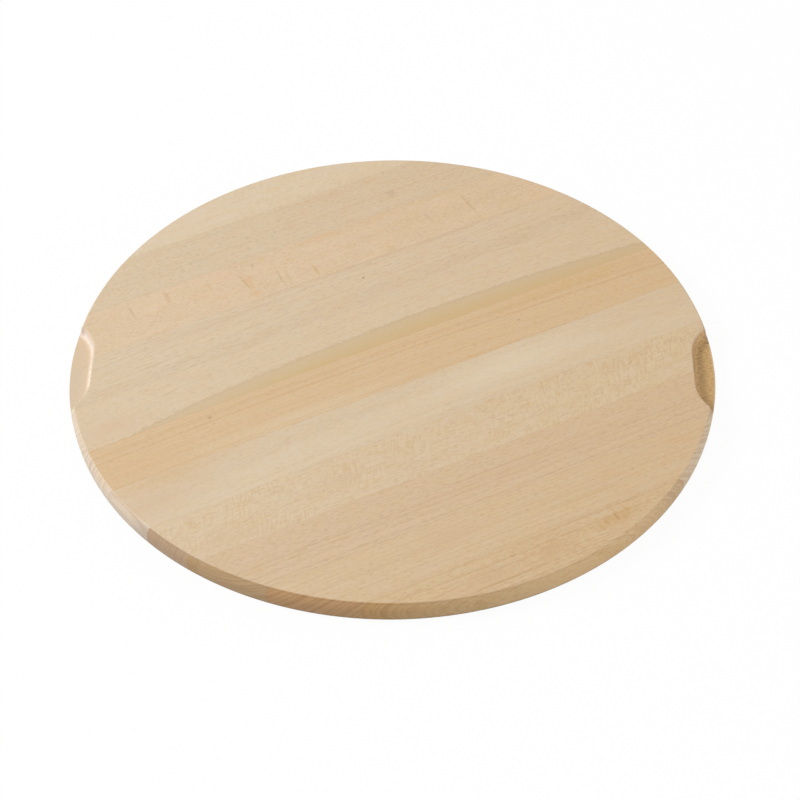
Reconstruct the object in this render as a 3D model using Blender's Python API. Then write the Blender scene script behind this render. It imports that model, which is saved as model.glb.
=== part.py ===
"""Round pizza board of eleven beech staves, glued edge to edge, with a finger grip at either end.

Metres, +Z up. The origin is the middle of the flat underside. +X runs through both finger grips,
and the seams between the staves cross the board at GRAIN_ANGLE to it.
"""
import math

import bmesh
import bpy

# The round blank. Its rim is crowned: widest at one height, and drawn in towards its two rounded edges.
BOARD_RADIUS = 0.250
THICKNESS = 0.018
RIM_WIDEST = 0.010
RIM_TOP_FALL = 0.0021
RIM_BOTTOM_FALL = 0.0008
TOP_EDGE_ROUND = 0.00125
BOTTOM_EDGE_ROUND = 0.0035

# The staves, all ripped to one width. The panel that they make is a little larger than the board all round.
STAVE_COUNT = 11
PANEL_SPARE = 0.00685
GRAIN_ANGLE = math.radians(28.3)
GLUE_GAP = 0.0003

# The finger grips. A round cutter enters the rim from the side, runs a short way along it and leaves again.
# The middle of its run lies a little nearer the -Y side than the middle of the board.
GRIP_REACH = 0.0169
GRIP_DEPTH = 0.008
GRIP_CUTTER_RADIUS = 0.039
GRIP_CUTTER_TRAVEL = 0.034
GRIP_OFF_CENTRE = 0.0031
GRIP_COVE = 0.0045
GRIP_SHOULDER_ROUND = 0.005

# Straight steps that stand for each round stretch.
RIM_STEPS = 92
SHOULDER_STEPS = 4
CUTTER_STEPS = 8
TRAVEL_STEPS = 2
TOP_ROUND_STEPS = 3
BOTTOM_ROUND_STEPS = 4
COVE_STEPS = 4
SHARP_ANGLE = math.radians(30)
MERGE_DISTANCE = 1e-7

# The staves' colours, from the far edge to the near edge, as sRGB hex values.
STAVE_COLOURS = ("DDC8AB", "D8C1A2", "DAC2A3", "D7C0A2", "D7BF9E", "D4B78F",
                 "D8C2A4", "D6BE9D", "D3B896", "D4B995", "D0B28C")
SANDED_BEECH_ROUGHNESS = 0.55


def rim_radius(height):
    """Radius of the crowned rim at a height above the underside."""
    if height > RIM_WIDEST:
        share = (height - RIM_WIDEST) / (THICKNESS - TOP_EDGE_ROUND - RIM_WIDEST)
        return BOARD_RADIUS - RIM_TOP_FALL * share ** 2
    share = (RIM_WIDEST - height) / (RIM_WIDEST - BOTTOM_EDGE_ROUND)
    return BOARD_RADIUS - RIM_BOTTOM_FALL * share ** 2


def arc(centre, radius, start, end, steps):
    """Points along an arc, both ends included."""
    angles = [start + (end - start) * step / steps for step in range(steps + 1)]
    return [(centre[0] + radius * math.cos(angle), centre[1] + radius * math.sin(angle)) for angle in angles]


def shoulder_centre(rim, cutter, corner, axis):
    """Middle of the rounding that touches both the cutter's circle and the rim, past the cutter's axis."""
    to_axis = math.hypot(*axis)
    from_board = rim - corner
    from_axis = cutter + corner
    along = (from_board ** 2 - from_axis ** 2 + to_axis ** 2) / (2 * to_axis)
    aside = math.sqrt(from_board ** 2 - along ** 2)
    unit = (axis[0] / to_axis, axis[1] / to_axis)
    return (unit[0] * along - unit[1] * aside, unit[1] * along + unit[0] * aside)


def grip_side(rim, cutter, corner, run):
    """One side of the right grip, from the board's middle line to where its shoulder meets the rim."""
    axis = (BOARD_RADIUS - GRIP_REACH + GRIP_CUTTER_RADIUS, run)
    shoulder = shoulder_centre(rim, cutter, corner, axis)
    to_shoulder = math.atan2(shoulder[1] - axis[1], shoulder[0] - axis[0])
    to_rim = math.atan2(shoulder[1], shoulder[0])
    wall = [(axis[0] - cutter, axis[1] * step / TRAVEL_STEPS) for step in range(TRAVEL_STEPS)]
    turn = arc(axis, cutter, math.pi, to_shoulder, CUTTER_STEPS)
    return wall + turn + arc(shoulder, corner, to_shoulder - math.pi, to_rim, SHOULDER_STEPS)[1:]


def gripped_outline(rim, cutter, corner):
    """Closed outline of the board at one height, with both grips in it."""
    outline = []
    for turn in (1, -1):
        side = grip_side(rim, cutter, corner, GRIP_CUTTER_TRAVEL / 2 - turn * GRIP_OFF_CENTRE)
        rim_start = math.atan2(side[-1][1], side[-1][0])
        long_rim = arc((0, 0), rim, rim_start, math.pi - rim_start, RIM_STEPS)
        half = side + long_rim[1:-1] + [(-x, y) for x, y in reversed(side[1:])]
        outline += [(turn * x, turn * y) for x, y in half]
    return outline


def round_outline(rim, like):
    """Closed round outline with a point in the direction of each point of another outline."""
    directions = [math.atan2(y, x) for x, y in like]
    return [(rim * math.cos(angle), rim * math.sin(angle)) for angle in directions]


def quarter_turns(steps):
    """Angles from nought to a right angle, both included."""
    return [math.pi / 2 * step / steps for step in range(steps + 1)]


def blank_rings():
    """Outlines of the board from the underside to the top face, each with its height."""
    floor = THICKNESS - GRIP_DEPTH
    foot_cutter = GRIP_CUTTER_RADIUS - GRIP_COVE
    cove_foot = gripped_outline(rim_radius(floor), foot_cutter, GRIP_SHOULDER_ROUND + GRIP_COVE)
    rings = []
    for angle in quarter_turns(BOTTOM_ROUND_STEPS):
        inset = BOTTOM_EDGE_ROUND * (1 - math.sin(angle))
        height = BOTTOM_EDGE_ROUND * (1 - math.cos(angle))
        rings.append((round_outline(rim_radius(BOTTOM_EDGE_ROUND) - inset, cove_foot), height))
    rings.append((round_outline(rim_radius(floor), cove_foot), floor))
    for angle in quarter_turns(COVE_STEPS):
        left_over = GRIP_COVE * (1 - math.sin(angle))
        height = floor + GRIP_COVE * (1 - math.cos(angle))
        cutter = GRIP_CUTTER_RADIUS - left_over
        rings.append((gripped_outline(rim_radius(height), cutter, GRIP_SHOULDER_ROUND + left_over), height))
    top_foot = THICKNESS - TOP_EDGE_ROUND
    for angle in quarter_turns(TOP_ROUND_STEPS):
        inset = TOP_EDGE_ROUND * (1 - math.cos(angle))
        height = top_foot + TOP_EDGE_ROUND * math.sin(angle)
        rim = rim_radius(top_foot) - inset
        cutter = GRIP_CUTTER_RADIUS + inset
        rings.append((gripped_outline(rim, cutter, GRIP_SHOULDER_ROUND - inset), height))
    return rings


def new_object(name, mesh):
    """Adds an object with round stretches shaded smooth and its edges kept sharp."""
    mesh.shade_smooth()
    mesh.set_sharp_from_angle(angle=SHARP_ANGLE)
    thing = bpy.data.objects.new(name, mesh)
    bpy.context.scene.collection.objects.link(thing)
    return thing


def board_blank():
    """The whole round board in one piece, which the planks are cut to."""
    build = bmesh.new()
    loops = []
    for outline, height in blank_rings():
        loops.append([build.verts.new((x, y, height)) for x, y in outline])
    for lower, upper in zip(loops, loops[1:]):
        for here in range(len(lower)):
            there = (here + 1) % len(lower)
            build.faces.new((lower[here], lower[there], upper[there], upper[here]))
    build.faces.new(list(reversed(loops[0])))
    build.faces.new(loops[-1])
    bmesh.ops.remove_doubles(build, verts=build.verts[:], dist=MERGE_DISTANCE)
    bmesh.ops.recalc_face_normals(build, faces=build.faces[:])
    mesh = bpy.data.meshes.new("board_blank")
    build.to_mesh(mesh)
    build.free()
    blank = new_object("board_blank", mesh)
    blank.hide_render = True
    blank.display_type = "WIRE"
    return blank


def plank(name, width, across):
    """A straight plank along the grain, with its middle at a distance from the middle of the board."""
    length = 2 * (BOARD_RADIUS + PANEL_SPARE)
    height = THICKNESS + 2 * PANEL_SPARE
    build = bmesh.new()
    bmesh.ops.create_cube(build, size=1)
    bmesh.ops.scale(build, vec=(length, width, height), verts=build.verts[:])
    mesh = bpy.data.meshes.new(name)
    build.to_mesh(mesh)
    build.free()
    thing = new_object(name, mesh)
    thing.location = (-across * math.sin(GRAIN_ANGLE), across * math.cos(GRAIN_ANGLE), THICKNESS / 2)
    thing.rotation_euler = (0, 0, GRAIN_ANGLE)
    return thing


def linear(hex_colour):
    """An sRGB hex value as the linear colour that a material holds."""
    values = [int(hex_colour[place:place + 2], 16) / 255 for place in (0, 2, 4)]
    values = [value / 12.92 if value <= 0.04045 else ((value + 0.055) / 1.055) ** 2.4 for value in values]
    return (*values, 1)


def sanded_beech(name, hex_colour):
    """Bare sanded beech, matt and in the stave's own tone."""
    material = bpy.data.materials.new(name)
    material.use_nodes = True
    shader = material.node_tree.nodes["Principled BSDF"]
    shader.inputs["Base Color"].default_value = linear(hex_colour)
    shader.inputs["Roughness"].default_value = SANDED_BEECH_ROUGHNESS
    shader.inputs["Metallic"].default_value = 0
    return material


def sawn_stave(number, width, across, blank, board):
    """One stave: a plank cut to the board's outline, and to the finger grip where one crosses it."""
    thing = plank(f"stave_{number:02d}", width - GLUE_GAP, across)
    thing.parent = board
    saw = thing.modifiers.new("saw_to_outline", "BOOLEAN")
    saw.operation = "INTERSECT"
    saw.solver = "EXACT"
    saw.object = blank
    colour = STAVE_COLOURS[(number - 1) % len(STAVE_COLOURS)]
    thing.data.materials.append(sanded_beech(f"beech_{number:02d}", colour))


def build_board():
    """Lays the staves edge to edge from the far rim to the near one, a glue line apart."""
    board = bpy.data.objects.new("board", None)
    bpy.context.scene.collection.objects.link(board)
    blank = board_blank()
    blank.parent = board
    width = 2 * (BOARD_RADIUS + PANEL_SPARE) / STAVE_COUNT
    for number in range(1, STAVE_COUNT + 1):
        across = BOARD_RADIUS + PANEL_SPARE - (number - 0.5) * width
        sawn_stave(number, width, across, blank, board)


for leftover in list(bpy.data.objects):
    bpy.data.objects.remove(leftover, do_unlink=True)
build_board()
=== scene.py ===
"""Round pizza board of eleven glued beech staves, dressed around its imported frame.

Metres, +Z up. +X runs through the two finger grips, and the board lies on the floor at z = 0.
The wood's own patterns are laid out in millimetres: along the grain, across it from the middle of
the board towards the far edge, and up from the underside.
"""
import math

import bmesh
import bpy
from mathutils import Matrix, Vector


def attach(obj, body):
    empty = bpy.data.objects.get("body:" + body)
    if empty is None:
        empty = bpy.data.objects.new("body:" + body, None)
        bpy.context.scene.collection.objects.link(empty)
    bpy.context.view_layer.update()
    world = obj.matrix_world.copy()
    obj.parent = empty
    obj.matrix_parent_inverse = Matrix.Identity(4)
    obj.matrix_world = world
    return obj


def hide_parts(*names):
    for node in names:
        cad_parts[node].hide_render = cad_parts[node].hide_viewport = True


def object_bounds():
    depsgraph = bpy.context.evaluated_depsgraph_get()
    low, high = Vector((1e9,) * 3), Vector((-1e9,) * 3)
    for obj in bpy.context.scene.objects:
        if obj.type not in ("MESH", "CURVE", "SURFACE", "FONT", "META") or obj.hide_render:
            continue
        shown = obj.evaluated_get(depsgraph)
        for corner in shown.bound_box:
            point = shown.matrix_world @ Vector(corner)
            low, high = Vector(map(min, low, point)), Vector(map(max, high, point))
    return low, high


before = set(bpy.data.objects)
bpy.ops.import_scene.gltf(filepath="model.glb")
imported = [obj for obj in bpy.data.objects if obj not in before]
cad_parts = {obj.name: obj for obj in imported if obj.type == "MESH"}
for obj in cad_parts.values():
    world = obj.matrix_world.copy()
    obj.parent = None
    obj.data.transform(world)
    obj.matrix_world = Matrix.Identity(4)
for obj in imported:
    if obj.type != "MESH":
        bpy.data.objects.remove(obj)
cad_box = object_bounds()


# The panel of solid beech, glued up and sawn round. The sander has crowned its rim a little, and both its
# edges are rounded over. A round cutter has run a finger grip with a coved back into either end.
BOARD_RADIUS = (cad_box[1].x - cad_box[0].x) / 2
THICKNESS = cad_box[1].z
RIM_WIDEST = 0.010
RIM_TOP_FALL = 0.0021
RIM_BOTTOM_FALL = 0.0008
TOP_EDGE_ROUND = 0.00125
BOTTOM_EDGE_ROUND = 0.0035
GRIP_REACH = 0.0169
GRIP_DEPTH = 0.008
GRIP_CUTTER_RADIUS = 0.039
GRIP_CUTTER_TRAVEL = 0.034
GRIP_OFF_CENTRE = 0.0031
GRIP_COVE = 0.0045
GRIP_SHOULDER_ROUND = 0.005

# A narrow flat margin beside each rounding keeps the flat faces evenly shaded. The steps stand for round
# stretches.
FLAT_MARGIN = 0.0004
RIM_STEPS = 276
SHOULDER_STEPS = 8
CUTTER_STEPS = 20
TRAVEL_STEPS = 6
EDGE_STEPS = 8
COVE_STEPS = 10
CROWN_STEPS = 4
MERGE_DISTANCE = 1e-7


def rim_radius(height):
    """Radius of the crowned rim at a height above the underside."""
    if height > RIM_WIDEST:
        share = (height - RIM_WIDEST) / (THICKNESS - TOP_EDGE_ROUND - RIM_WIDEST)
        return BOARD_RADIUS - RIM_TOP_FALL * share ** 2
    share = (RIM_WIDEST - height) / (RIM_WIDEST - BOTTOM_EDGE_ROUND)
    return BOARD_RADIUS - RIM_BOTTOM_FALL * share ** 2


def arc(centre, radius, start, end, steps):
    """Points along an arc, both ends included."""
    angles = [start + (end - start) * step / steps for step in range(steps + 1)]
    return [(centre[0] + radius * math.cos(angle), centre[1] + radius * math.sin(angle)) for angle in angles]


def grip_side(rim, cutter, corner, run):
    """One side of the right grip, from the board's middle line to where its shoulder meets the rim."""
    axis = (BOARD_RADIUS - GRIP_REACH + GRIP_CUTTER_RADIUS, run)
    to_axis = math.hypot(*axis)
    from_board = rim - corner
    along = (from_board ** 2 - (cutter + corner) ** 2 + to_axis ** 2) / (2 * to_axis)
    aside = math.sqrt(from_board ** 2 - along ** 2)
    shoulder = ((axis[0] * along - axis[1] * aside) / to_axis, (axis[1] * along + axis[0] * aside) / to_axis)
    to_shoulder = math.atan2(shoulder[1] - axis[1], shoulder[0] - axis[0])
    to_rim = math.atan2(shoulder[1], shoulder[0])
    wall = [(axis[0] - cutter, axis[1] * step / TRAVEL_STEPS) for step in range(TRAVEL_STEPS)]
    turn = arc(axis, cutter, math.pi, to_shoulder, CUTTER_STEPS)
    return wall + turn + arc(shoulder, corner, to_shoulder - math.pi, to_rim, SHOULDER_STEPS)[1:]


def gripped_outline(rim, cutter, corner):
    """Closed outline of the board at one height, with both grips in it."""
    outline = []
    for turn in (1, -1):
        side = grip_side(rim, cutter, corner, GRIP_CUTTER_TRAVEL / 2 - turn * GRIP_OFF_CENTRE)
        rim_start = math.atan2(side[-1][1], side[-1][0])
        long_rim = arc((0, 0), rim, rim_start, math.pi - rim_start, RIM_STEPS)
        half = side + long_rim[1:-1] + [(-x, y) for x, y in reversed(side[1:])]
        outline += [(turn * x, turn * y) for x, y in half]
    return outline


def round_outline(rim, like):
    """Closed round outline with a point in the direction of each point of another outline."""
    directions = [math.atan2(y, x) for x, y in like]
    return [(rim * math.cos(angle), rim * math.sin(angle)) for angle in directions]


def quarter_turns(steps):
    """Angles from nought to a right angle, both included."""
    return [math.pi / 2 * step / steps for step in range(steps + 1)]


def blank_rings():
    """Outlines of the board from the underside to the top face, each with its height."""
    floor = THICKNESS - GRIP_DEPTH
    foot = (GRIP_CUTTER_RADIUS - GRIP_COVE, GRIP_SHOULDER_ROUND + GRIP_COVE)
    cove_foot = gripped_outline(rim_radius(floor), *foot)
    widest = rim_radius(BOTTOM_EDGE_ROUND)
    rings = [(round_outline(widest - BOTTOM_EDGE_ROUND - FLAT_MARGIN, cove_foot), 0)]
    for angle in quarter_turns(EDGE_STEPS):
        inset = BOTTOM_EDGE_ROUND * (1 - math.sin(angle))
        rings.append((round_outline(widest - inset, cove_foot), BOTTOM_EDGE_ROUND * (1 - math.cos(angle))))
    for step in range(1, CROWN_STEPS + 1):
        height = BOTTOM_EDGE_ROUND + (floor - BOTTOM_EDGE_ROUND) * step / CROWN_STEPS
        rings.append((round_outline(rim_radius(height), cove_foot), height))
    rings.append((gripped_outline(rim_radius(floor), foot[0] - FLAT_MARGIN, foot[1] + FLAT_MARGIN), floor))
    for angle in quarter_turns(COVE_STEPS):
        left_over = GRIP_COVE * (1 - math.sin(angle))
        height = floor + GRIP_COVE * (1 - math.cos(angle))
        cutter = GRIP_CUTTER_RADIUS - left_over
        rings.append((gripped_outline(rim_radius(height), cutter, GRIP_SHOULDER_ROUND + left_over), height))
    cove_top = floor + GRIP_COVE
    top_foot = THICKNESS - TOP_EDGE_ROUND
    for step in range(1, CROWN_STEPS):
        height = cove_top + (top_foot - cove_top) * step / CROWN_STEPS
        rings.append((gripped_outline(rim_radius(height), GRIP_CUTTER_RADIUS, GRIP_SHOULDER_ROUND), height))
    insets = [TOP_EDGE_ROUND * (1 - math.cos(angle)) for angle in quarter_turns(EDGE_STEPS)]
    heights = [top_foot + TOP_EDGE_ROUND * math.sin(angle) for angle in quarter_turns(EDGE_STEPS)]
    for inset, height in zip(insets + [TOP_EDGE_ROUND + FLAT_MARGIN], heights + [THICKNESS]):
        sides = (GRIP_CUTTER_RADIUS + inset, GRIP_SHOULDER_ROUND - inset)
        rings.append((gripped_outline(rim_radius(top_foot) - inset, *sides), height))
    return rings


build = bmesh.new()
loops = []
for outline, height in blank_rings():
    loops.append([build.verts.new((x, y, height)) for x, y in outline])
for lower, upper in zip(loops, loops[1:]):
    for here in range(len(lower)):
        there = (here + 1) % len(lower)
        build.faces.new((lower[here], lower[there], upper[there], upper[here]))
build.faces.new(list(reversed(loops[0])))
build.faces.new(loops[-1])
bmesh.ops.remove_doubles(build, verts=build.verts[:], dist=MERGE_DISTANCE)
bmesh.ops.recalc_face_normals(build, faces=build.faces[:])
blank_mesh = bpy.data.meshes.new("sawn_round_panel")
build.to_mesh(blank_mesh)
build.free()
blank = bpy.data.objects.new("sawn_round_panel", blank_mesh)
bpy.context.scene.collection.objects.link(blank)


# Stave 1, the outermost at the far edge: steamed beech, the palest of the eleven, with a few faint
# flecks that slant across its grain. Like the others it was ripped to width and glued to its neighbour.
STAVE_COUNT = len(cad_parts)
PANEL_SPARE = 0.00685
GRAIN_ANGLE = math.radians(28.3)
GLUE_LINE = 0.00005
STAVE_WIDTH = 2 * (BOARD_RADIUS + PANEL_SPARE) / STAVE_COUNT
SHARP_ANGLE = math.radians(30)
MILLIMETRE = 0.001
BEECH_IOR = 1.5


def add(tree, kind, links=None, **settings):
    """Adds a node with its settings and links. A source is a socket, a node's first output, or a value."""
    node = tree.nodes.new(kind)
    for name, value in settings.items():
        setattr(node, name, value)
    for name, source in (links or {}).items():
        if isinstance(source, bpy.types.Node):
            source = source.outputs[0]
        if isinstance(source, bpy.types.NodeSocket):
            tree.links.new(source, node.inputs[name])
        else:
            node.inputs[name].default_value = source
    return node


def open_group(name, kind, inputs, outputs):
    """A node group with named inputs and outputs, each with its kind of socket."""
    tree = bpy.data.node_groups.new(name, kind)
    for label, socket in inputs.items():
        tree.interface.new_socket(label, in_out="INPUT", socket_type="NodeSocket" + socket)
    for label, socket in outputs.items():
        tree.interface.new_socket(label, in_out="OUTPUT", socket_type="NodeSocket" + socket)
    return tree, add(tree, "NodeGroupInput").outputs


def sawing_tree():
    """Saws a stave out of the round panel: what the panel shares with a plank laid across it."""
    sizes = {"Panel": "Object", "Length": "Float", "Width": "Float", "Height": "Float"}
    places = {"Across": "Float", "Grain Angle": "Float", "Finish": "Material"}
    tree, given = open_group("sawn_stave", "GeometryNodeTree", sizes | places, {"Stave": "Geometry"})
    box = add(tree, "ShaderNodeCombineXYZ",
              {"X": given["Length"], "Y": given["Width"], "Z": given["Height"]})
    plank = add(tree, "GeometryNodeMeshCube", {"Size": box})
    middle = add(tree, "ShaderNodeCombineXYZ", {"Y": given["Across"], "Z": THICKNESS / 2})
    across = add(tree, "GeometryNodeTransform", {"Geometry": plank, "Translation": middle})
    turn = add(tree, "ShaderNodeCombineXYZ", {"Z": given["Grain Angle"]})
    laid = add(tree, "GeometryNodeTransform", {"Geometry": across, "Rotation": turn})
    panel = add(tree, "GeometryNodeObjectInfo", {"Object": given["Panel"]}, transform_space="ORIGINAL")
    saw = add(tree, "GeometryNodeMeshBoolean", operation="INTERSECT", solver="EXACT")
    tree.links.new(panel.outputs["Geometry"], saw.inputs["Mesh 2"])
    tree.links.new(laid.outputs["Geometry"], saw.inputs["Mesh 2"])
    real = add(tree, "GeometryNodeRealizeInstances", {"Geometry": saw})
    finished = add(tree, "GeometryNodeSetMaterial", {"Geometry": real, "Material": given["Finish"]})
    add(tree, "NodeGroupOutput", {"Stave": finished})
    return tree


def linear(hex_colour):
    """An sRGB hex value as the linear colour that a shader holds."""
    values = [int(hex_colour[place:place + 2], 16) / 255 for place in (0, 2, 4)]
    values = [value / 12.92 if value <= 0.04045 else ((value + 0.055) / 1.055) ** 2.4 for value in values]
    return (*values, 1)


def per(size):
    """One over each measure of a size, which stretches a noise to it."""
    return tuple(1 / measure for measure in size)


def span(start, end):
    """Where the input of a Map Range node starts and ends."""
    return {"From Min": start, "From Max": end}


# Sizes of the figure in millimetres: along the grain, across it and up. Pores and fibres are drawn
# coarser than the 0.1 mm of real ones, so that they show from arm's length.
SWEEP_SIZE = (160, 55, 55)
BAND_LENGTH = 260
FIBRE_SIZE = (22, 1.5, 1.5)
PORE_SIZE = (4.5, 0.8, 0.8)
RAY_THICKNESS = 0.45
RAY_PATCH_SIZE = (38, 16, 16)
TINT_PATCH_SIZE = (17, 7, 7)

# The part of a ring's year in which its dark late wood comes and goes, and how uneven the years are.
LATE_WOOD_COMES = (0.1, 0.85)
LATE_WOOD_GOES = (0.85, 1)
UNEVEN_YEARS = 2.2
UNEVEN_PER_RING = 0.42
BANDS_PER_RING = 0.5

# The levels of a noise between which a pore, a ray, a patch of rays or a tint comes in full.
PORE_LEVELS = (0.5, 0.72)
RAY_LEVELS = (0.35, 0.65)
RAY_PATCH_LEVELS = (0.36, 0.62)
TINT_LEVELS = (0.3, 0.7)

# How far apart the seeds set the staves in each noise.
SEED_SHIFT = (131, 57, 89)
RING_SEED_STEP = 7.3
YEAR_SEED_STEP = 3.1


def figure_group():
    """How beech grew, as patterns in solid wood: yearly rings round the pith, fibres, pores and rays."""
    given_kinds = {"Place": "Vector", "Seed": "Float", "Pith Across": "Float", "Pith Up": "Float",
                   "Drift": "Float", "Bow": "Float", "Bow Middle": "Float", "Wander": "Float",
                   "Ring Width": "Float", "Ray Height": "Float", "Ray Run": "Float", "Ray Lean": "Float"}
    outcomes = {"Late Wood": "Float", "Year": "Float", "Band": "Float", "Fibre": "Float", "Pore": "Float",
                "Ray": "Float", "Tint": "Float"}
    tree, given = open_group("beech_figure", "ShaderNodeTree", given_kinds, outcomes)
    shift = add(tree, "ShaderNodeVectorMath", {0: SEED_SHIFT, "Scale": given["Seed"]}, operation="SCALE")
    away = add(tree, "ShaderNodeVectorMath", {0: given["Place"], 1: shift}, operation="ADD")
    place = add(tree, "ShaderNodeSeparateXYZ", {"Vector": given["Place"]}).outputs

    # The tree's sweep: the rings lean across the stave, bow round a middle, and wander slowly.
    from_middle = add(tree, "ShaderNodeMath", {0: place["X"], 1: given["Bow Middle"]}, operation="SUBTRACT")
    squared = add(tree, "ShaderNodeMath", {0: from_middle, 1: from_middle}, operation="MULTIPLY")
    bowed = add(tree, "ShaderNodeMath", {0: squared, 1: given["Bow"], 2: place["Y"]},
                operation="MULTIPLY_ADD")
    swept = add(tree, "ShaderNodeMath", {0: place["X"], 1: given["Drift"], 2: bowed},
                operation="MULTIPLY_ADD")
    slow_place = add(tree, "ShaderNodeVectorMath", {0: away, 1: per(SWEEP_SIZE)}, operation="MULTIPLY")
    slow = add(tree, "ShaderNodeTexNoise", {"Vector": slow_place, "Scale": 1, "Detail": 1.5})
    centred = add(tree, "ShaderNodeMath", {0: slow, 1: 0.5}, operation="SUBTRACT")
    grown = add(tree, "ShaderNodeMath", {0: centred, 1: given["Wander"], 2: swept}, operation="MULTIPLY_ADD")

    # Distance and direction from the pith give the rings and the rays that cross them.
    aside = add(tree, "ShaderNodeMath", {0: grown, 1: given["Pith Across"]}, operation="SUBTRACT")
    above = add(tree, "ShaderNodeMath", {0: place["Z"], 1: given["Pith Up"]}, operation="SUBTRACT")
    spoke = add(tree, "ShaderNodeCombineXYZ", {"X": aside, "Y": above})
    radius = add(tree, "ShaderNodeVectorMath", {0: spoke}, operation="LENGTH").outputs["Value"]
    count = add(tree, "ShaderNodeMath", {0: radius, 1: given["Ring Width"]}, operation="DIVIDE")
    seeded = add(tree, "ShaderNodeMath", {0: given["Seed"], 1: RING_SEED_STEP, 2: count},
                 operation="MULTIPLY_ADD")
    uneven = add(tree, "ShaderNodeTexNoise", {"W": seeded, "Scale": UNEVEN_PER_RING, "Detail": 1},
                 noise_dimensions="1D")
    years = add(tree, "ShaderNodeMath", {0: uneven, 1: UNEVEN_YEARS, 2: count}, operation="MULTIPLY_ADD")
    season = add(tree, "ShaderNodeMath", {0: years}, operation="FRACT")
    rise = add(tree, "ShaderNodeMapRange", {"Value": season} | span(*LATE_WOOD_COMES),
               interpolation_type="SMOOTHSTEP")
    fall = add(tree, "ShaderNodeMapRange",
               {"Value": season, "To Min": 1, "To Max": 0} | span(*LATE_WOOD_GOES),
               interpolation_type="SMOOTHSTEP")
    late_wood = add(tree, "ShaderNodeMath", {0: rise, 1: fall}, operation="MULTIPLY")
    whole_year = add(tree, "ShaderNodeMath", {0: years}, operation="FLOOR")
    year_seed = add(tree, "ShaderNodeMath", {0: given["Seed"], 1: YEAR_SEED_STEP, 2: whole_year},
                    operation="MULTIPLY_ADD")
    year = add(tree, "ShaderNodeTexWhiteNoise", {"W": year_seed}, noise_dimensions="1D")
    stretch = add(tree, "ShaderNodeMath", {0: place["X"], 1: 1 / BAND_LENGTH}, operation="MULTIPLY")
    band_place = add(tree, "ShaderNodeCombineXYZ", {"X": seeded, "Y": given["Seed"], "Z": stretch})
    band = add(tree, "ShaderNodeTexNoise",
               {"Vector": band_place, "Scale": BANDS_PER_RING, "Detail": 2, "Roughness": 0.6})

    # Fibres and pores run along the grain and follow the sweep.
    line_place = add(tree, "ShaderNodeCombineXYZ", {"X": place["X"], "Y": grown, "Z": place["Z"]})
    line_away = add(tree, "ShaderNodeVectorMath", {0: line_place, 1: shift}, operation="ADD")
    fibre_place = add(tree, "ShaderNodeVectorMath", {0: line_away, 1: per(FIBRE_SIZE)}, operation="MULTIPLY")
    fibre = add(tree, "ShaderNodeTexNoise",
                {"Vector": fibre_place, "Scale": 1, "Detail": 2, "Roughness": 0.6})
    pore_place = add(tree, "ShaderNodeVectorMath", {0: line_away, 1: per(PORE_SIZE)}, operation="MULTIPLY")
    pore_noise = add(tree, "ShaderNodeTexNoise", {"Vector": pore_place, "Scale": 1, "Detail": 1})
    pore = add(tree, "ShaderNodeMapRange", {"Value": pore_noise} | span(*PORE_LEVELS))

    # Rays are thin ribbons that stand in the plane of the pith and the grain. A face that runs along them
    # shows flecks that stand across the grain, and a face that cuts them shows short dashes.
    angle = add(tree, "ShaderNodeMath", {0: above, 1: aside}, operation="ARCTAN2")
    reach_across = add(tree, "ShaderNodeMath", {0: given["Pith Across"], 1: place["Y"]},
                       operation="SUBTRACT")
    reach_place = add(tree, "ShaderNodeCombineXYZ", {"X": reach_across, "Y": above})
    reach = add(tree, "ShaderNodeVectorMath", {0: reach_place}, operation="LENGTH").outputs["Value"]
    around = add(tree, "ShaderNodeMath", {0: angle, 1: reach}, operation="MULTIPLY")
    leaned = add(tree, "ShaderNodeMath", {0: place["Y"], 1: given["Ray Lean"], 2: place["X"]},
                 operation="MULTIPLY_ADD")
    ray_along = add(tree, "ShaderNodeMath", {0: leaned, 1: given["Ray Height"]}, operation="DIVIDE")
    ray_out = add(tree, "ShaderNodeMath", {0: radius, 1: given["Ray Run"]}, operation="DIVIDE")
    ray_thick = add(tree, "ShaderNodeMath", {0: around, 1: RAY_THICKNESS}, operation="DIVIDE")
    ray_place = add(tree, "ShaderNodeCombineXYZ", {"X": ray_along, "Y": ray_thick, "Z": ray_out})
    ray_away = add(tree, "ShaderNodeVectorMath", {0: ray_place, 1: shift}, operation="ADD")
    ray_noise = add(tree, "ShaderNodeTexNoise", {"Vector": ray_away, "Scale": 1, "Detail": 1})
    open_ray = add(tree, "ShaderNodeMapRange", {"Value": ray_noise, "To Min": -1} | span(*RAY_LEVELS),
                   interpolation_type="SMOOTHSTEP")
    patch_place = add(tree, "ShaderNodeVectorMath", {0: away, 1: per(RAY_PATCH_SIZE)}, operation="MULTIPLY")
    patch_noise = add(tree, "ShaderNodeTexNoise", {"Vector": patch_place, "Scale": 1, "Detail": 1})
    patch = add(tree, "ShaderNodeMapRange", {"Value": patch_noise} | span(*RAY_PATCH_LEVELS))
    ray = add(tree, "ShaderNodeMath", {0: open_ray, 1: patch}, operation="MULTIPLY")

    # The hue drifts between yellowish and rosy in patches of a centimetre or two.
    tint_place = add(tree, "ShaderNodeVectorMath", {0: away, 1: per(TINT_PATCH_SIZE)}, operation="MULTIPLY")
    tint_noise = add(tree, "ShaderNodeTexNoise", {"Vector": tint_place, "Scale": 1, "Detail": 2})
    tint = add(tree, "ShaderNodeMapRange", {"Value": tint_noise} | span(*TINT_LEVELS))
    add(tree, "NodeGroupOutput", {"Late Wood": late_wood, "Year": year, "Band": band, "Fibre": fibre,
                                  "Pore": pore, "Ray": ray, "Tint": tint})
    return tree


# Tears per millimetre in the edge of a ragged mark.
MARK_TEAR_SCALE = 0.35


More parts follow.
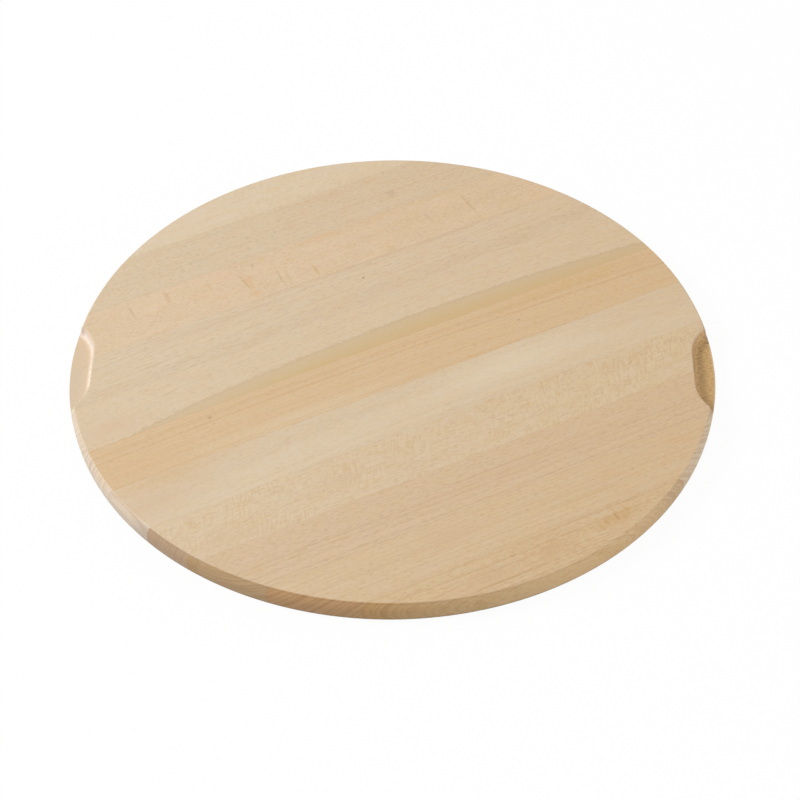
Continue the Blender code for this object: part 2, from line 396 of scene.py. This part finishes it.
def mark_group():
    """A soft-edged mark in a stave, such as a fleck, a stain or a pin knot, which fades out at a depth."""
    given_kinds = {"Place": "Vector", "Along": "Float", "Across": "Float", "Half Length": "Float",
                   "Half Width": "Float", "Lean": "Float", "Ragged": "Float", "Softness": "Float",
                   "Gone": "Float", "Full": "Float"}
    tree, given = open_group("beech_mark", "ShaderNodeTree", given_kinds, {"Mark": "Float"})
    place = add(tree, "ShaderNodeSeparateXYZ", {"Vector": given["Place"]}).outputs
    across = add(tree, "ShaderNodeMath", {0: place["Y"], 1: given["Across"]}, operation="SUBTRACT")
    along = add(tree, "ShaderNodeMath", {0: place["X"], 1: given["Along"]}, operation="SUBTRACT")
    leaned = add(tree, "ShaderNodeMath", {0: across, 1: given["Lean"], 2: along}, operation="MULTIPLY_ADD")
    length = add(tree, "ShaderNodeMath", {0: leaned, 1: given["Half Length"]}, operation="DIVIDE")
    width = add(tree, "ShaderNodeMath", {0: across, 1: given["Half Width"]}, operation="DIVIDE")
    flat = add(tree, "ShaderNodeCombineXYZ", {"X": length, "Y": width})
    distance = add(tree, "ShaderNodeVectorMath", {0: flat}, operation="LENGTH").outputs["Value"]
    torn = add(tree, "ShaderNodeTexNoise",
               {"Vector": given["Place"], "Scale": MARK_TEAR_SCALE, "Detail": 2})
    torn_by = add(tree, "ShaderNodeMath", {0: torn, 1: 0.5}, operation="SUBTRACT")
    edge = add(tree, "ShaderNodeMath", {0: torn_by, 1: given["Ragged"], 2: distance},
               operation="MULTIPLY_ADD")
    soft = add(tree, "ShaderNodeMath", {0: 1, 1: given["Softness"]}, operation="SUBTRACT")
    inside = add(tree, "ShaderNodeMapRange", {"Value": edge, "To Min": 1, "To Max": 0} | span(soft, 1),
                 interpolation_type="SMOOTHSTEP")
    depth = add(tree, "ShaderNodeMapRange", {"Value": place["Z"]} | span(given["Gone"], given["Full"]))
    mark = add(tree, "ShaderNodeMath", {0: inside, 1: depth}, operation="MULTIPLY")
    add(tree, "NodeGroupOutput", {"Mark": mark})
    return tree


SAWING = sawing_tree()
FIGURE = figure_group()
MARK = mark_group()


def stave_middle(number):
    """Distance of a stave's middle from the board's, across the grain, counted from the far edge."""
    return BOARD_RADIUS + PANEL_SPARE - (number - 0.5) * STAVE_WIDTH


def stain(along, across, half_length, half_width, colour, amount, lean=0, ragged=0.8, softness=1,
          fades=(10, 15)):
    """A mark's place, size, colour and strength. It is gone at one height and full at the other."""
    shape = {"Along": along, "Across": across, "Half Length": half_length, "Half Width": half_width,
             "Lean": lean, "Ragged": ragged, "Softness": softness, "Gone": fades[0], "Full": fades[1]}
    return shape, colour, amount


def blend(tree, factor, under, over, kind="MIX"):
    """The colour that over makes of under at a factor."""
    return add(tree, "ShaderNodeMix", {0: factor, 6: under, 7: over}, data_type="RGBA",
               blend_type=kind).outputs[2]


# Linear tints that multiply a colour: of the wood in patches, on the rim, in the end grain's rings, under
# the cutter, as painted light towards the left and the right of the board, and as painted shade on the lower
# edge.
YELLOWISH = (1.0, 0.975, 0.9, 1)
RIM_GOLD = (0.95, 0.9, 0.78, 1)
SOAKED_END = (0.72, 0.66, 0.6, 1)
SCORCHED = (0.5, 0.4, 0.28, 1)
COOLER_LEFT = (1.005, 1.015, 1.04, 1)
WARMER_RIGHT = (0.975, 0.945, 0.905, 1)
PAINTED_EDGE_SHADE = (0.42, 0.42, 0.43, 1)

# How level the surface lies where the rim and the end grain come in, and how squarely it cuts the fibres.
RIM_LEVELS = (0.9, 0.5)
STEEP_LEVELS = (0.97, 0.8)
CROSSED_LEVELS = (0.17, 0.68)
END_RINGS = 0.45

# Where a grip lies: in metres from the line through both grips, in millimetres from the board's middle, and
# in millimetres up from the underside. The cutter's marks are in metres.
GRIP_BESIDE = (0.057, 0.054)
GRIP_INWARD = (249.6, 248.6)
GRIP_UNDER_TOP = (17, 15)
GRIP_OVER_FLOOR = (8.5, 9.5)
GRIP_COVER = 0.9
CUTTER_MARK_SIZE = (0.0028, 0.0009, 0.0009)
CUTTER_MARK_LEVELS = (0.48, 0.66)

# Between which places along the grain the painted light turns warmer, and at which heights the lower edge
# is painted with shade, in millimetres.
PAINTED_LIGHT_REACH = (-150, 240)
SHADED_EDGE_HEIGHTS = (3.4, 1.4)

# What the lines of the figure leave in the surface.
PORE_DEPTH = -0.6
RELIEF_STRENGTH = 0.35
RELIEF_HEIGHT = 0.00008
ROUGH_TONES = (-0.5, 0.5)
ROUGHNESS = (0.5, 0.64)


def sanded_beech(number, colours, ends, pith, ring_width, amounts, drift=0, bow=(0, 0), wander=4,
                 ray=(2.5, 14, 0), grip=None, stains=()):
    """Sanded, unoiled beech: matt, with the growth of one stave in it, and tones of its own on the ends.

    colours are the base, a deeper, a paler and the rays' tone. ends are the end grain's tones at the left
    and at the right, which differ partly by painted sheen: a paler or greyer tone stands in for the glare
    of the lamps on the rim at that side. pith is its place across the stave from its middle, and above the
    underside. amounts are those of late wood, bands, fibres, pores and rays. ray holds the rays' height,
    run and lean, and bow how strongly the rings bow and where along the grain. grip holds the tones of its
    wall and floor, and how strongly it is scorched; in the left grip the pale wall tone is partly painted
    highlight, where the soft box on the left falls on the cove.
    """
    material = bpy.data.materials.new(f"sanded_beech_{number:02d}")
    material.use_nodes = True
    tree = material.node_tree
    base, deep, pale, ray_shade = [linear(colour) for colour in colours]
    left_end_and_sheen, right_end_and_sheen = [linear(colour) for colour in ends]
    ring_amount, band_amount, fibre_amount, pore_amount, ray_amount = amounts
    middle = stave_middle(number) / MILLIMETRE
    on_board = add(tree, "ShaderNodeTexCoord").outputs["Object"]
    place = add(tree, "ShaderNodeMapping", {"Vector": on_board, "Rotation": (0, 0, -GRAIN_ANGLE),
                                            "Scale": (1 / MILLIMETRE,) * 3})
    spot = add(tree, "ShaderNodeSeparateXYZ", {"Vector": place}).outputs
    growth = {"Place": place, "Seed": number, "Pith Across": middle + pith[0], "Pith Up": pith[1],
              "Drift": drift, "Bow": bow[0], "Bow Middle": bow[1], "Wander": wander,
              "Ring Width": ring_width, "Ray Height": ray[0], "Ray Run": ray[1], "Ray Lean": ray[2]}
    grown = add(tree, "ShaderNodeGroup", growth, node_tree=FIGURE).outputs

    # One tone for the lines along the grain: above nought it goes to the deeper colour, below to the paler.
    strength = add(tree, "ShaderNodeMath", {0: grown["Year"], 1: ring_amount, 2: ring_amount / 2},
                   operation="MULTIPLY_ADD")
    tone = add(tree, "ShaderNodeMath", {0: grown["Late Wood"], 1: strength}, operation="MULTIPLY")
    for name, amount, average in (("Band", band_amount, 0.5), ("Fibre", fibre_amount, 0.5),
                                  ("Pore", pore_amount, 0.2)):
        swing = add(tree, "ShaderNodeMath", {0: grown[name], 1: average}, operation="SUBTRACT")
        tone = add(tree, "ShaderNodeMath", {0: swing, 1: amount, 2: tone}, operation="MULTIPLY_ADD")
    down = add(tree, "ShaderNodeMath", {0: tone, 1: 1}, operation="MULTIPLY", use_clamp=True)
    up = add(tree, "ShaderNodeMath", {0: tone, 1: -1}, operation="MULTIPLY", use_clamp=True)
    shade = blend(tree, up, blend(tree, down, base, deep), pale)
    ray_dark = add(tree, "ShaderNodeMath", {0: grown["Ray"], 1: ray_amount}, operation="MULTIPLY",
                   use_clamp=True)
    ray_light = add(tree, "ShaderNodeMath", {0: grown["Ray"], 1: -ray_amount / 2}, operation="MULTIPLY",
                    use_clamp=True)
    shade = blend(tree, ray_light, blend(tree, ray_dark, shade, ray_shade), pale)
    shade = blend(tree, grown["Tint"], shade, YELLOWISH, "MULTIPLY")

    # The rim is a little more golden than the sanded face.
    facing = add(tree, "ShaderNodeNewGeometry").outputs["Normal"]
    upright = add(tree, "ShaderNodeSeparateXYZ", {"Vector": facing}).outputs["Z"]
    flatness = add(tree, "ShaderNodeMath", {0: upright}, operation="ABSOLUTE")
    on_rim = add(tree, "ShaderNodeMapRange", {"Value": flatness} | span(*RIM_LEVELS))
    shade = blend(tree, on_rim, shade, RIM_GOLD, "MULTIPLY")

    # Where the surface cuts across the fibres it shows the end grain.
    grain = (math.cos(GRAIN_ANGLE), math.sin(GRAIN_ANGLE), 0)
    outward = add(tree, "ShaderNodeVectorMath", {0: facing, 1: (1, 1, 0)}, operation="MULTIPLY")
    bearing = add(tree, "ShaderNodeVectorMath", {0: outward}, operation="NORMALIZE")
    across_fibres = add(tree, "ShaderNodeVectorMath", {0: bearing, 1: grain},
                        operation="DOT_PRODUCT").outputs["Value"]
    square = add(tree, "ShaderNodeMath", {0: across_fibres}, operation="ABSOLUTE")
    crossed = add(tree, "ShaderNodeMapRange", {"Value": square} | span(*CROSSED_LEVELS),
                  interpolation_type="SMOOTHSTEP")
    steep = add(tree, "ShaderNodeMapRange", {"Value": flatness} | span(*STEEP_LEVELS))
    end_grain = add(tree, "ShaderNodeMath", {0: crossed, 1: steep}, operation="MULTIPLY")
    # The end grain's tone changes at the stave's middle; part of that change is painted sheen, the glare of
    # the lamps on the rim at each side.
    right_half = add(tree, "ShaderNodeMath", {0: spot["X"], 1: 0}, operation="GREATER_THAN")
    end = blend(tree, right_half, left_end_and_sheen, right_end_and_sheen)

    # The cutter left its own tones in the grip, and scorched fine marks that run out to the rim.
    if grip:
        wall, floor_tone, burn = grip
        beside = add(tree, "ShaderNodeSeparateXYZ", {"Vector": on_board}).outputs["Y"]
        off_middle = add(tree, "ShaderNodeMath", {0: beside}, operation="ABSOLUTE")
        near = add(tree, "ShaderNodeMapRange", {"Value": off_middle} | span(*GRIP_BESIDE))
        level = add(tree, "ShaderNodeCombineXYZ", {"X": spot["X"], "Y": spot["Y"]})
        out = add(tree, "ShaderNodeVectorMath", {0: level}, operation="LENGTH").outputs["Value"]
        inward = add(tree, "ShaderNodeMapRange", {"Value": out} | span(*GRIP_INWARD))
        within = add(tree, "ShaderNodeMath", {0: near, 1: inward}, operation="MULTIPLY")
        below = add(tree, "ShaderNodeMapRange", {"Value": spot["Z"]} | span(*GRIP_UNDER_TOP))
        above = add(tree, "ShaderNodeMapRange", {"Value": spot["Z"]} | span(*GRIP_OVER_FLOOR))
        between = add(tree, "ShaderNodeMath", {0: above, 1: below}, operation="MULTIPLY")
        gripped = add(tree, "ShaderNodeMath", {0: within, 1: between}, operation="MULTIPLY")
        covered = add(tree, "ShaderNodeMath", {0: gripped, 1: GRIP_COVER}, operation="MULTIPLY")
        # In the left grip the pale wall tone is partly painted highlight, where the soft box on the left
        # lights the cove.
        end = blend(tree, covered, end, linear(wall))
        shade = blend(tree, covered, shade, linear(floor_tone))
        cut_place = add(tree, "ShaderNodeMapping", {"Vector": on_board, "Scale": per(CUTTER_MARK_SIZE)})
        cut = add(tree, "ShaderNodeTexNoise", {"Vector": cut_place, "Scale": 1, "Detail": 2})
        cut_deep = add(tree, "ShaderNodeMapRange",
                       {"Value": cut, "To Max": burn} | span(*CUTTER_MARK_LEVELS))
        cut_mark = add(tree, "ShaderNodeMath", {0: cut_deep, 1: gripped}, operation="MULTIPLY")
        shade = blend(tree, cut_mark, shade, SCORCHED, "MULTIPLY")
        end = blend(tree, cut_mark, end, SCORCHED, "MULTIPLY")

    # The rings are drawn stronger in the end grain. Stains and knots lie over all of it.
    soaked = blend(tree, 1, end, SOAKED_END, "MULTIPLY")
    end_lines = add(tree, "ShaderNodeMath", {0: grown["Late Wood"], 1: END_RINGS, 2: tone},
                    operation="MULTIPLY_ADD", use_clamp=True)
    whole = blend(tree, end_grain, shade, blend(tree, end_lines, end, soaked))
    for shape, colour, amount in stains:
        mark = add(tree, "ShaderNodeGroup", {"Place": place} | shape, node_tree=MARK)
        covered = add(tree, "ShaderNodeMath", {0: mark, 1: amount}, operation="MULTIPLY")
        whole = blend(tree, covered, whole, linear(colour))

    # Painted light: the board is painted a little paler and cooler towards its left, where the large soft
    # box stands, and darker and warmer towards its right.
    painted_light_share = add(tree, "ShaderNodeMapRange", {"Value": spot["X"]} | span(*PAINTED_LIGHT_REACH))
    whole = blend(tree, 1, whole, blend(tree, painted_light_share, COOLER_LEFT, WARMER_RIGHT), "MULTIPLY")
    # Painted shade: the lower edge is painted grey where the board's contact shadow falls.
    low = add(tree, "ShaderNodeMapRange", {"Value": spot["Z"]} | span(*SHADED_EDGE_HEIGHTS))
    shaded_edge = add(tree, "ShaderNodeMath", {0: low, 1: steep}, operation="MULTIPLY")
    whole = blend(tree, shaded_edge, whole, PAINTED_EDGE_SHADE, "MULTIPLY")

    relief = add(tree, "ShaderNodeMath", {0: grown["Pore"], 1: PORE_DEPTH, 2: grown["Fibre"]},
                 operation="MULTIPLY_ADD")
    bump = add(tree, "ShaderNodeBump",
               {"Height": relief, "Strength": RELIEF_STRENGTH, "Distance": RELIEF_HEIGHT})
    roughness = add(tree, "ShaderNodeMapRange",
                    {"Value": tone, "To Min": ROUGHNESS[0], "To Max": ROUGHNESS[1]} | span(*ROUGH_TONES))
    shader = tree.nodes["Principled BSDF"]
    shader.inputs["IOR"].default_value = BEECH_IOR
    tree.links.new(whole, shader.inputs["Base Color"])
    tree.links.new(roughness.outputs[0], shader.inputs["Roughness"])
    tree.links.new(bump.outputs[0], shader.inputs["Normal"])
    return material


def lay_stave(number, finish):
    """Saws a stave out of the panel and lays it in the board in place of its frame node."""
    start = bpy.data.objects.new("plank", bpy.data.meshes.new("plank"))
    bpy.context.scene.collection.objects.link(start)
    sawing = start.modifiers.new("sawn_stave", "NODES")
    sawing.node_group = SAWING
    room = 2 * PANEL_SPARE
    sizes = {"Panel": blank, "Length": 2 * BOARD_RADIUS + room, "Width": STAVE_WIDTH - GLUE_LINE,
             "Height": THICKNESS + room, "Across": stave_middle(number), "Grain Angle": GRAIN_ANGLE,
             "Finish": finish}
    for item in SAWING.interface.items_tree:
        if item.item_type == "SOCKET" and item.in_out == "INPUT":
            sawing[item.identifier] = sizes[item.name]
    evaluated = start.evaluated_get(bpy.context.evaluated_depsgraph_get())
    mesh = bpy.data.meshes.new_from_object(evaluated)
    bpy.data.objects.remove(start, do_unlink=True)
    mesh.shade_smooth()
    mesh.set_sharp_from_angle(angle=SHARP_ANGLE)
    stave = bpy.data.objects.new(f"beech_stave_{number:02d}", mesh)
    bpy.context.scene.collection.objects.link(stave)
    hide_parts(f"stave_{number:02d}")
    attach(stave, "root")


lay_stave(1, sanded_beech(
    1, ("DAC6AA", "C4A582", "E6D8C2", "CDB38E"), ends=("D9C5A8", "CDB08A"), pith=(-120, -30), ring_width=2.4,
    amounts=(0.05, 0.2, 0.35, 0.35, 0.2), ray=(2.6, 9, -0.5)))


# Stave 2: a grey-beige strip of beech with fine close lines, ripped and glued like the first. It has a dark
# smudge near its lower seam and a reddish tint along a stretch of its upper one.
lay_stave(2, sanded_beech(
    2, ("D5BFA1", "B99A78", "E2D0B6", "C9A987"), ends=("D7C2A6", "C9A987"), pith=(-60, -45), ring_width=1.9,
    amounts=(0.09, 0.25, 0.55, 0.5, 0.1), drift=-0.01,
    stains=(stain(94, 182, 6, 7, "BCA68C", 0.5, ragged=2.5),
            stain(50, 203, 26, 5, "D6B08A", 0.3, ragged=2),
            stain(84, 204, 10, 4, "D8AE80", 0.3, ragged=2))))


# Stave 3: quarter-sawn beech, so its rays lie open in the face as yellowish and brown flecks that stand
# across the grain. It has a warm tint along its upper seam, and its end holds half of the left grip, whose
# wall tone is partly painted highlight.
lay_stave(3, sanded_beech(
    3, ("DAC1A2", "C6A27A", "E6D4B8", "C6A880"), ends=("D9C7B0", "CDB08A"), pith=(150, 2), ring_width=2.2,
    amounts=(0.06, 0.3, 0.35, 0.5, 0.75), ray=(2.2, 16, 0), grip=("E8D8C8", "DAC1A2", 0.1),
    stains=(stain(-196, 150.5, 3.5, 4, "AE9280", 0.55, ragged=1),
            stain(-154, 150, 1.6, 15, "BC9E7E", 0.5),
            stain(-122, 153, 3, 12, "CBA276", 0.5, ragged=1.5),
            stain(-87, 148, 3, 8, "D0B284", 0.5, ragged=1.5),
            stain(-57, 140, 5, 13, "D8B084", 0.75, ragged=1.5),
            stain(-60, 139, 1.2, 14, "B8925F", 0.55, lean=0.1),
            stain(-58, 123, 5, 8, "D8B284", 0.6, ragged=1.5),
            stain(-36, 159, 8, 5, "D6BA88", 0.6, ragged=1.5),
            stain(-46, 155, 1.4, 7, "BE9E78", 0.5, lean=-0.3),
            stain(-72, 153, 13, 7, "DDB896", 0.4, ragged=1.5),
            stain(14, 160, 22, 5, "D8B288", 0.45, ragged=2),
            stain(-32, 133, 1.5, 15, "B79A74", 0.5, lean=-0.1),
            stain(-26, 130, 2.4, 15, "CDB07E", 0.6, lean=-0.1),
            stain(-3, 125, 2.2, 10, "C8A06A", 0.6, ragged=1.2),
            stain(62, 122, 5, 7, "D2B080", 0.35, lean=0.4, ragged=1.5),
            stain(107, 140, 2.6, 9, "BDA488", 0.4, lean=0.2),
            stain(144, 139, 1.8, 24, "C8A878", 0.65, lean=0.06),
            stain(50, 161, 90, 7, "D4B288", 0.3, ragged=2.2),
            stain(-196, 153, 3, 5, "BE9C8C", 0.7),
            stain(-147, 118, 4, 3, "D4AC7C", 0.5))))


# Stave 4: a strip of beech with dense, fine, dark pore lines that climb slowly to the right, strongest near
# its upper seam on the left, and one dark speck. The other half of the left grip is cut into its end, and
# its wall tone there is partly painted highlight.
lay_stave(4, sanded_beech(
    4, ("D7C1A4", "B89B79", "E0CFB5", "D2B998"), ends=("D9C7B0", "CDB08A"), pith=(-30, -55), ring_width=2.3,
    amounts=(0.12, 0.2, 0.5, 0.37, 0.02), drift=-0.035, grip=("F0E0C8", "D7C1A4", 0.1),
    stains=(stain(26, 99.5, 2.4, 1.3, "8A7258", 0.7, lean=-0.6, softness=0.9),
            stain(-110, 107, 90, 9, "C9AD8B", 0.25),
            stain(60, 115.5, 190, 3.5, "CDAE8C", 0.45, ragged=1.5, softness=0.9))))


# Stave 5: a strip of beech that is pale above an arched edge and below it first olive and then golden. The
# arch is the sweep of the tree, which the saw ran through.
lay_stave(5, sanded_beech(
    5, ("D7C1A3", "BE9E78", "E2D2B8", "D0B48E"), ends=("D9C7B0", "CDB08A"), pith=(-70, -40), ring_width=3,
    amounts=(0.09, 0.2, 0.45, 0.36, 0.02), bow=(0.000226, 40),
    stains=(stain(45, -11, 345, 54.5, "BEA27C", 0.5, ragged=0.1, softness=0.035),
            stain(45, -13, 345, 54.5, "D3BA90", 0.48, ragged=0.1, softness=0.05),
            stain(55, -16, 350, 54.5, "CFAE74", 0.5, ragged=0.3, softness=0.2),
            stain(-222, 38, 45, 16, "D2B08E", 0.35))))


# Stave 6, the middle one: a yellow-tan strip of beech with straight growth lines 5 mm apart and two pin
# knots, glued in between its neighbours.
lay_stave(6, sanded_beech(
    6, ("D6B993", "BC9160", "E0C8A4", "D0B48E"), ends=("D9C7B2", "CDB08A"), pith=(-120, 0), ring_width=5,
    amounts=(0.17, 0.25, 0.4, 0.35, 0.02), drift=-0.01, bow=(0.00008, -120),
    stains=(stain(-150, 13, 2.8, 1.9, "A27E50", 0.7, lean=-0.6, softness=0.9),
            stain(111, -2, 2.2, 1.6, "A58158", 0.65, lean=-0.6, softness=0.9),
            stain(-90, -17, 130, 10, "DCC6A6", 0.35, ragged=0.6, softness=0.9),
            stain(-225, -6, 60, 20, "D2AE84", 0.4),
            stain(170, 17, 90, 8, "D0AA6C", 0.4, ragged=2),
            stain(-90, 10, 60, 4, "D2A878", 0.3, ragged=2))))


# Stave 7: a pale and cool strip of beech with gently curved growth lines 5 mm apart. It has a bright
# stretch on the right and turns brown towards its left end.
lay_stave(7, sanded_beech(
    7, ("D8C3A6", "BF9F7A", "E4D6BE", "CDB08C"), ends=("D4C2AC", "CDB08A"), pith=(20, -60), ring_width=5,
    amounts=(0.15, 0.18, 0.4, 0.3, 0.02), bow=(0.0002, 20), wander=2,
    stains=(stain(85, -40, 110, 22, "E6D8BE", 0.35),
            stain(-225, -50, 75, 24, "D0B290", 0.45),
            stain(-205, -27, 75, 16, "D0AA78", 0.45, ragged=1.2),
            stain(-241, -67, 13, 19, "B4A08C", 0.6, ragged=0.3, fades=(17.4, 16)))))


# Stave 8: quarter-sawn beech like the third, with many small slanting yellowish and light flecks. A blunt
# cutter cut half of the right grip into its end and burnished it to a golden brown.
lay_stave(8, sanded_beech(
    8, ("D6BF9F", "B9966A", "E6D6BA", "CCAA7C"), ends=("B69878", "BDAA92"), pith=(-140, -4), ring_width=1.9,
    amounts=(0.09, 0.35, 0.4, 0.4, 0.35), ray=(1.9, 8, -0.4), grip=("BB945F", "CDA970", 0.65),
    stains=(stain(233, -88, 2.2, 1.6, "7C5A2C", 0.8, softness=0.9, fades=(17, 14)),
            stain(223, -94, 1.8, 1.8, "8C6A3A", 0.7, softness=0.9, fades=(17, 14)),
            stain(234, -82, 4, 2, "8C6A3A", 0.5, softness=0.9, fades=(17, 14)),
            stain(-224, -113, 7, 7, "AC8A56", 0.75, ragged=0.4, softness=0.35, fades=(17.4, 16)),
            stain(-190, -107, 60, 14, "CFB08A", 0.4),
            stain(25, -88, 3.5, 8, "CFA87C", 0.35, lean=0.3),
            stain(68, -90, 9, 7, "CFAF82", 0.35, lean=0.3),
            stain(97, -88, 3, 6, "CFAF7C", 0.4),
            stain(145, -80, 4, 6, "CCAC7C", 0.35, lean=0.4),
            stain(167, -82, 4, 6, "CFA87A", 0.4, lean=-0.3),
            stain(-92, -95, 34, 15, "CFB08A", 0.35, ragged=2),
            stain(-30, -88, 28, 7, "CCB48A", 0.35, ragged=2))))


# Stave 9: a strip of beech in brown with a hint of mauve, in fine lines. The other half of the burnished
# grip is cut into its end.
lay_stave(9, sanded_beech(
    9, ("D4B998", "B49270", "DEC8A8", "C8A47C"), ends=("BA9A70", "C0B098"), pith=(20, 80), ring_width=3,
    amounts=(0.19, 0.35, 0.42, 0.42, 0.02), grip=("BB945F", "CDA970", 0.65),
    stains=(stain(30, -143, 110, 12, "D0B08C", 0.4, ragged=1.5),
            stain(30, -136, 120, 1.2, "B89A78", 0.4, ragged=0.6))))


# Stave 10: a golden tan strip of beech with faint wide lines and soft brownish patches, ripped and glued
# like the rest.
lay_stave(10, sanded_beech(
    10, ("D4B996", "B8946A", "DFC9A8", "C8A474"), ends=("BF9566", "C2AE93"), pith=(60, 50), ring_width=3.4,
    amounts=(0.16, 0.4, 0.5, 0.4, 0.02),
    stains=(stain(-45, -182, 40, 14, "D0B08C", 0.5, ragged=1.5),
            stain(85, -180, 18, 12, "D2AE86", 0.35, ragged=1.5),
            stain(60, -192, 60, 5, "C8AA7C", 0.3, ragged=1.5),
            stain(150, -175, 25, 9, "D2AE82", 0.35, ragged=1.5))))


# Stave 11, the outermost at the near edge: beech with brown patches, rusty flecks and a small golden burr.
# Its rings curve round a pith just outside the board, so its end grain shows them as upright arcs. One dark
# mark sits on its lower edge.
lay_stave(11, sanded_beech(
    11, ("D3B893", "B08655", "DCC8A8", "BC9460"), ends=("C0935A", "B09470"), pith=(-28, 9), ring_width=2.7,
    amounts=(0.17, 0.3, 0.5, 0.4, 0.1), ray=(2, 10, 0),
    stains=(stain(-45, -229, 45, 12, "CDAA86", 0.6, ragged=1.5),
            stain(14, -227, 32, 14, "CAA478", 0.5, ragged=2.2),
            stain(66, -223, 38, 9, "C69C62", 0.5, ragged=1.2),
            stain(55, -226, 2.2, 6, "C29A62", 0.4, ragged=1.2),
            stain(61, -223, 1.8, 7, "BE8E50", 0.4, ragged=1.2),
            stain(70, -220.5, 2, 9, "BC8A4A", 0.55, ragged=1.2),
            stain(75, -224, 1.6, 6, "BE8E50", 0.4, ragged=1.2),
            stain(80, -219, 1.8, 7, "C29A62", 0.45, ragged=1.2),
            stain(-30, -238, 60, 1.5, "B08A60", 0.4),
            stain(-20, -226, 50, 1.2, "B48E64", 0.35),
            stain(-116, -218.5, 1.6, 3, "4A3826", 0.9, softness=0.6, fades=(3, 1.5)))))

# All of the panel is sawn up by now.
bpy.data.objects.remove(blank, do_unlink=True)


# The floor is a sweep of white paper, laid flat under the board. The camera sees it nearly burnt out, with a
# trace of the board's shadow.
FLOOR_SIZE = 12.0
FLOOR_DROP = 0.0001
PAPER_WHITE = "CCCCCC"
SHADED_PART = 0.08
BURNT_OUT_WHITE = 1.03


def seen_white(tree):
    """One for what the camera sees, also in a gloss or through something clear, and nought otherwise."""
    kind = add(tree, "ShaderNodeLightPath").outputs
    plain = add(tree, "ShaderNodeMath", {0: kind["Is Camera Ray"], 1: kind["Is Glossy Ray"]},
                operation="MAXIMUM")
    return add(tree, "ShaderNodeMath", {0: plain, 1: kind["Is Transmission Ray"]}, operation="MAXIMUM")


floor_mesh = bpy.data.meshes.new("floor")
half = FLOOR_SIZE / 2
corners = [(x, y, -FLOOR_DROP) for x, y in ((-half, -half), (half, -half), (half, half), (-half, half))]
floor_mesh.from_pydata(corners, [], [(0, 1, 2, 3)])
floor = bpy.data.objects.new("floor", floor_mesh)
bpy.context.scene.collection.objects.link(floor)
paper = bpy.data.materials.new("white_paper_sweep")
paper.use_nodes = True
tree = paper.node_tree
tree.nodes.clear()
matt = add(tree, "ShaderNodeBsdfDiffuse", {"Color": linear(PAPER_WHITE)})
glow = add(tree, "ShaderNodeEmission", {"Strength": BURNT_OUT_WHITE})
burnt_out = add(tree, "ShaderNodeMixShader", {0: SHADED_PART, 1: glow, 2: matt})
paper_seen = add(tree, "ShaderNodeMixShader", {0: seen_white(tree), 1: matt, 2: burnt_out})
add(tree, "ShaderNodeOutputMaterial", {"Surface": paper_seen})
floor_mesh.materials.append(paper)


# The light: an even white studio, a large soft box high on the left that throws the shadows, and a weaker
# low one to the right that lifts the rim there. A box has a bearing and an elevation in degrees, a distance,
# a width and a height in metres, and a power in watts.
STUDIO_STRENGTH = 0.55
SOFT_BOXES = (("left_soft_box", 181, 38, 4.6, 2.2, 1.5, 139.0),
              ("right_soft_box", -8, 8, 3.0, 2.0, 0.6, 40.0))

studio = bpy.data.worlds.new("studio")
studio.use_nodes = True
tree = studio.node_tree
strength = add(tree, "ShaderNodeMapRange",
               {"Value": seen_white(tree), "To Min": STUDIO_STRENGTH, "To Max": 1})
background = tree.nodes["Background"]
background.inputs["Color"].default_value = (1, 1, 1, 1)
tree.links.new(strength.outputs[0], background.inputs["Strength"])
bpy.context.scene.world = studio

for name, bearing, elevation, distance, width, height, power in SOFT_BOXES:
    box_light = bpy.data.lights.new(name, "AREA")
    box_light.shape = "RECTANGLE"
    box_light.size = width
    box_light.size_y = height
    box_light.energy = power
    lamp = bpy.data.objects.new(name, box_light)
    bearing, elevation = math.radians(bearing), math.radians(elevation)
    towards = Vector((math.cos(elevation) * math.cos(bearing), math.cos(elevation) * math.sin(bearing),
                      math.sin(elevation)))
    lamp.location = towards * distance
    lamp.rotation_euler = towards.to_track_quat("Z", "Y").to_euler()
    bpy.context.scene.collection.objects.link(lamp)


# The camera looks down at the board from the angle and distance of the photograph, through a long lens and
# rolled by half a degree.
CAMERA_BEARING = math.radians(90.9)
CAMERA_ELEVATION = math.radians(44.251)
CAMERA_ROLL = math.radians(0.518)
CAMERA_DISTANCE = 2.232
CAMERA_AIM = Vector((0.00606, -0.02146, 0))
CAMERA_LENS = 129.83
CAMERA_SENSOR = 36
CAMERA_CLIP = 0.05

view = bpy.data.cameras.new("camera")
view.lens = CAMERA_LENS
view.sensor_width = CAMERA_SENSOR
view.clip_start = CAMERA_CLIP
camera = bpy.data.objects.new("camera", view)
level_forward = Vector((math.cos(CAMERA_BEARING), math.sin(CAMERA_BEARING), 0))
forward = level_forward * math.cos(CAMERA_ELEVATION) - Vector((0, 0, math.sin(CAMERA_ELEVATION)))
right = Vector((math.sin(CAMERA_BEARING), -math.cos(CAMERA_BEARING), 0))
up = right.cross(forward)
local_x = right * math.cos(CAMERA_ROLL) - up * math.sin(CAMERA_ROLL)
local_y = right * math.sin(CAMERA_ROLL) + up * math.cos(CAMERA_ROLL)
turned = Matrix((local_x, local_y, -forward)).transposed().to_4x4()
camera.matrix_world = Matrix.Translation(CAMERA_AIM - forward * CAMERA_DISTANCE) @ turned
bpy.context.scene.collection.objects.link(camera)
bpy.context.scene.camera = camera
bpy.context.scene.view_settings.view_transform = "Standard"
